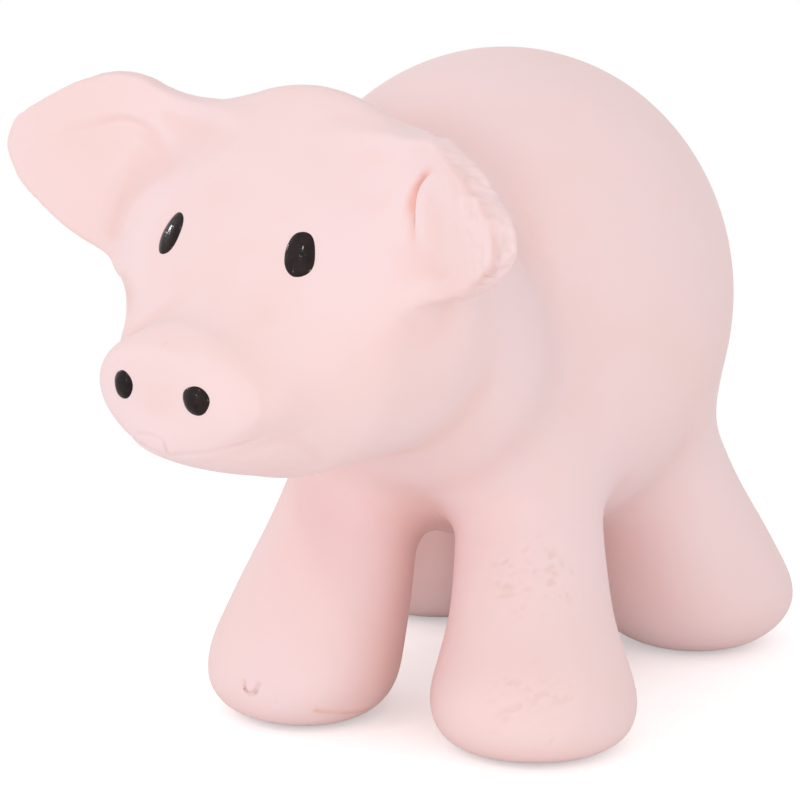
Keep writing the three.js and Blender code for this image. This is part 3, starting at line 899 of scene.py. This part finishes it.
body_skin = cut_out("body_skin", 2)
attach(body_skin, "body")
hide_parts("rubber_body")
for part, ear in enumerate(ears):
    flap = cut_out(f"ear_flap_{ear.word}", part)
    start = ear.root + EAR_BEND_START * ear.bend
    start * MM
    (start + EAR_BEND * ear.bend) * MM
    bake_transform(flap)
    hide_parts(f"ear_{ear.word}")

# The plug: a stud of the same rubber, pressed and glued into the pour hole once the rattle is inside.
# Its face is a little domed and lies just inside the belly, and its flange grips the wall from within.
# Radii and heights from the tip of its face to the top of its flange
PLUG_PROFILE = (
    (0.0, 17.0), (1.2, 17.02), (2.6, 17.1), (3.5, 17.25), (3.95, 17.5), (4.2, 17.9), (4.2, 19.6),
    (4.6, 19.9), (6.3, 20.0), (6.5, 20.3), (6.5, 21.3), (6.2, 21.6), (0.0, 21.6),
)


def turned(name, middle, profile, around=48):
    """A solid of revolution about an upright line from its radii and heights."""
    angles = 2 * math.pi * np.arange(around) / around
    circle = np.stack([np.cos(angles), np.sin(angles), np.zeros(around)], 1)
    rings = profile[1:-1]
    points = [radius * circle + UP * height for radius, height in rings]
    points = np.concatenate(points + [UP[None] * profile[0][1], UP[None] * profile[-1][1]])
    low_tip, high_tip = len(rings) * around, len(rings) * around + 1
    faces = []
    for k in range(around):
        after = (k + 1) % around
        last = (len(rings) - 1) * around
        faces.append((low_tip, after, k))
        faces.append((high_tip, last + k, last + after))
        for ring in range(len(rings) - 1):
            at = ring * around
            faces.append((at + k, at + after, at + around + after, at + around + k))
    return piece_of(name, points + np.array([middle[0], middle[1], 0]), faces)


plug = turned("pour_hole_stud", TORSO_AT, PLUG_PROFILE)
plug.data.materials.append(rubber)
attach(plug, "body")
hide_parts("pour_hole_plug")

# The eyes and nostrils: drops of gloss black enamel put on by hand with a fine brush. They dry domed,
# a little uneven in outline, and hug the skin.
DROP_PROUD = 0.42
DROP_SUNK = 0.35
DROP_EDGE = 0.02
# Each drop: node, across and above on the face, half width, half height, lean, and 1 for an oval or squarer
DROPS = (
    ("eye_left", 10.07, 5.34, 1.8, 2.5, 11.0, 0.87),
    ("eye_right", -9.63, 5.17, 1.75, 2.5, -3.0, 0.92),
    ("nostril_left", 5.85, -9.06, 1.85, 1.55, 0.0, 1.0),
    ("nostril_right", -5.33, -9.09, 1.5, 1.55, 0.0, 1.0),
)
enamel, shader, wire = new_material("black_enamel")
place = wire.node("ShaderNodeTexCoord", out="Object")
streaks = noise(wire, place, 900.0)
plug_in(
    shader,
    Base_Color=mixed(wire, streaks * 0.5 + 0.3, linear(20, 11, 11), linear(54, 36, 35)),
    Roughness=streaks * 0.05 + 0.16,
    Normal=wire.node("ShaderNodeBump", {"Height": streaks, "Strength": 0.25, "Distance": 0.0002}),
    Specular_IOR_Level=0.06,
    Coat_Weight=0.25,
    Coat_Roughness=0.05,
)


def onto_face(across, above):
    """The place on the skin straight ahead of a place in the head."""
    near, far = 0.0, 40.0
    for _ in range(40):
        ahead = (near + far) / 2
        point = HEAD_AT + HEAD_AXES @ np.array([across, -ahead, above])
        near, far = (ahead, far) if casting(point[None])[0] < 0 else (near, ahead)
    return point


def drop(node, across, above, half_width, half_height, lean, square, rings=14, around=56):
    """A domed drop of enamel that follows the skin, with its rim sunk a little into it."""
    middle = onto_face(across, above)
    out = unit(slope(casting, middle[None], 0.4))[0]
    side = unit(np.cross(UP, out)[None])[0]
    over = np.cross(out, side)
    tilt = math.radians(lean)
    side, over = math.cos(tilt) * side + math.sin(tilt) * over, math.cos(tilt) * over - math.sin(tilt) * side
    angles = 2 * math.pi * np.arange(around) / around
    uneven = 1 + 0.02 * np.sin(3 * angles + across) + 0.012 * np.sin(5 * angles + 2 * above)
    flat = np.stack([np.cos(angles), np.sin(angles)], 1)
    flat = np.sign(flat) * np.abs(flat) ** square * (half_width, half_height) * uneven[:, None]
    shares = np.sin(np.linspace(0, math.pi / 2, rings + 1))[1:]
    spread = np.concatenate([share * flat for share in shares] + [np.zeros((1, 2))])
    heights = np.concatenate([np.full(around, (1 - share**2.6) ** 0.8) for share in shares] + [[1.0]])
    base = middle + spread[:, :1] * side + spread[:, 1:] * over
    for _ in range(6):
        base = base - skin(base)[:, None] * out
    hug = unit(slope(casting, base, 0.4))
    top = base + (DROP_PROUD * heights - DROP_EDGE)[:, None] * hug
    rim = slice((rings - 1) * around, rings * around)
    bottom = base[rim] - DROP_SUNK * hug[rim]
    points = np.concatenate([top, bottom, [middle - (DROP_SUNK + 0.2) * out]])
    tip, under, floor_tip = rings * around, rings * around + 1, len(points) - 1
    faces = []
    for k in range(around):
        after = (k + 1) % around
        last = (rings - 1) * around
        faces.append((tip, k, after))
        for ring in range(rings - 1):
            at = ring * around
            faces.append((at + k, at + around + k, at + around + after, at + after))
        faces.append((last + k, under + k, under + after, last + after))
        faces.append((under + k, floor_tip, under + after))
    painted = piece_of(f"{node}_drop", points, faces)
    painted.data.materials.append(enamel)
    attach(painted, "body")
    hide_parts(node)


for row in DROPS:
    drop(*row)

# The rattle: a ball of two moulded plastic half shells with a lip joint, and six polished steel beads
# loose inside. It rolls about in the hollow body, so nothing holds it.
plastic, shader, wire = new_material("moulded_plastic")
place = wire.node("ShaderNodeTexCoord", out="Object")
swirl = noise(wire, place, 120.0, 4.0)
plug_in(
    shader,
    Base_Color=mixed(wire, swirl * 0.5 + 0.4, linear(232, 230, 222), linear(222, 219, 208)),
    Roughness=swirl * 0.06 + 0.42,
    Normal=wire.node("ShaderNodeBump", {"Height": swirl, "Strength": 0.05, "Distance": 0.0003}),
)
steel, shader, wire = new_material("polished_steel")
place = wire.node("ShaderNodeTexCoord", out="Object")
wear = noise(wire, place, 900.0, 4.0)
plug_in(
    shader,
    Base_Color=mixed(wire, wear * 0.4 + 0.4, linear(206, 208, 212), linear(178, 179, 182)),
    Metallic=1.0,
    Roughness=wear * 0.05 + 0.17,
)
for name, node in frame["nodes"].items():
    if name.startswith("rattle"):
        node.data.materials.clear()
        node.data.materials.append(steel if "bead" in name else plastic)

# The studio: a plain white floor that keeps the pig's shadow, a white surround, and soft lamps.
# The camera stands to the pig's left of straight ahead and looks down a little.
SURROUND_LIGHT = 0.79
world = bpy.data.worlds.new("surround")
bpy.context.scene.world = world
world.use_nodes = True
tree = world.node_tree
paths = tree.nodes.new("ShaderNodeLightPath")
seen = Wire(tree, paths.outputs["Is Camera Ray"])
for ray in ("Is Glossy Ray", "Is Transmission Ray"):
    seen = seen.maths("MAXIMUM", seen, Wire(tree, paths.outputs[ray]))
background = tree.nodes["Background"]
background.inputs["Color"].default_value = (1, 1, 1, 1)
strength = seen * (1 - SURROUND_LIGHT) + SURROUND_LIGHT
tree.links.new(strength.socket, background.inputs["Strength"])

FLOOR_HALF = 0.6
FLOOR_LIFT = 0.35
FLOOR_FADE = (0.07, 0.13)
FLOOR_CORNERS = ((-1, -1), (1, -1), (1, 1), (-1, 1))
floor_mesh = bpy.data.meshes.new("floor")
floor_mesh.from_pydata([(x * FLOOR_HALF, y * FLOOR_HALF, 0) for x, y in FLOOR_CORNERS], [], [(0, 1, 2, 3)])
floor = bpy.data.objects.new("floor", floor_mesh)
bpy.context.scene.collection.objects.link(floor)
floor_paint, shader, wire = new_material("floor_paint")
plug_in(shader, Base_Color=(0.95, 0.95, 0.95, 1), Roughness=1.0, Specular_IOR_Level=0.0)
floor.data.materials.append(floor_paint)
tree = floor_paint.node_tree
glow = wire.node("ShaderNodeEmission", {"Color": (1, 1, 1, 1), "Strength": FLOOR_LIFT})
lit = wire.node("ShaderNodeAddShader", {0: Wire(tree, shader.outputs[0]), 1: glow})
white = wire.node("ShaderNodeEmission", {"Color": (1, 1, 1, 1), "Strength": 1.0})
position = wire.node("ShaderNodeNewGeometry", out="Position")
flat_place = wire.node("ShaderNodeVectorMath", {0: position, 1: (1.0, 1.0, 0.0)}, operation="MULTIPLY")
far = wire.node("ShaderNodeVectorMath", {0: flat_place}, out="Value", operation="LENGTH")
faded = wire.node(
    "ShaderNodeMapRange",
    {"Value": far, "From Min": FLOOR_FADE[0], "From Max": FLOOR_FADE[1]},
    interpolation_type="SMOOTHSTEP",
)
near_and_far = wire.node("ShaderNodeMixShader", {"Fac": faded, 1: lit, 2: white})
shown = wire.node("ShaderNodeLightPath", out="Is Camera Ray")
both = wire.node("ShaderNodeMixShader", {"Fac": shown, 1: Wire(tree, shader.outputs[0]), 2: near_and_far})
tree.links.new(both.socket, tree.nodes["Material Output"].inputs["Surface"])
floor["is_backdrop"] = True


def soft_lamp(name, place, aim, width, power):
    """A round area lamp that looks at a place."""
    lamp = bpy.data.lights.new(name, "AREA")
    lamp.shape = "DISK"
    lamp.size = width
    lamp.energy = power
    made = bpy.data.objects.new(name, lamp)
    made.location = place
    made.rotation_euler = (Vector(aim) - Vector(place)).to_track_quat("-Z", "Y").to_euler()
    bpy.context.scene.collection.objects.link(made)


soft_lamp("key_lamp", (-0.25, -0.65, 0.3), (0, 0, 0.04), 0.5, 0.12)
soft_lamp("fill_lamp", (0.3, -0.66, 0.12), (0, 0, 0.03), 0.16, 0.7)
soft_lamp("window_front", (-0.29, -0.5, 0.57), (0, 0, 0.05), 0.06, 0.28)
soft_lamp("window_low", (-0.45, -0.6, 0.17), (0, 0, 0.05), 0.045, 0.12)
soft_lamp("window_right", (-0.75, 0.08, 0.3), (0, 0, 0.05), 0.045, 0.25)

CAMERA_AZIMUTH = math.radians(25.62)
CAMERA_ELEVATION = math.radians(13.37)
CAMERA_DISTANCE = 0.35405
CAMERA_LENS = 132.4
AIM = Vector(TORSO_AT * (1, 1, 0) + (-8.66, -10.74, 34.93)) * MM
back = Vector((
    math.sin(CAMERA_AZIMUTH) * math.cos(CAMERA_ELEVATION),
    -math.cos(CAMERA_AZIMUTH) * math.cos(CAMERA_ELEVATION),
    math.sin(CAMERA_ELEVATION),
))
camera = bpy.data.objects.new("camera", bpy.data.cameras.new("camera"))
camera.data.lens = CAMERA_LENS
camera.data.sensor_width = 36
camera.location = AIM + back * CAMERA_DISTANCE
camera.rotation_euler = (-back).to_track_quat("-Z", "Y").to_euler()
bpy.context.scene.collection.objects.link(camera)
bpy.context.scene.camera = camera
bpy.context.scene.view_settings.view_transform = "Standard"

low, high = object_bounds()
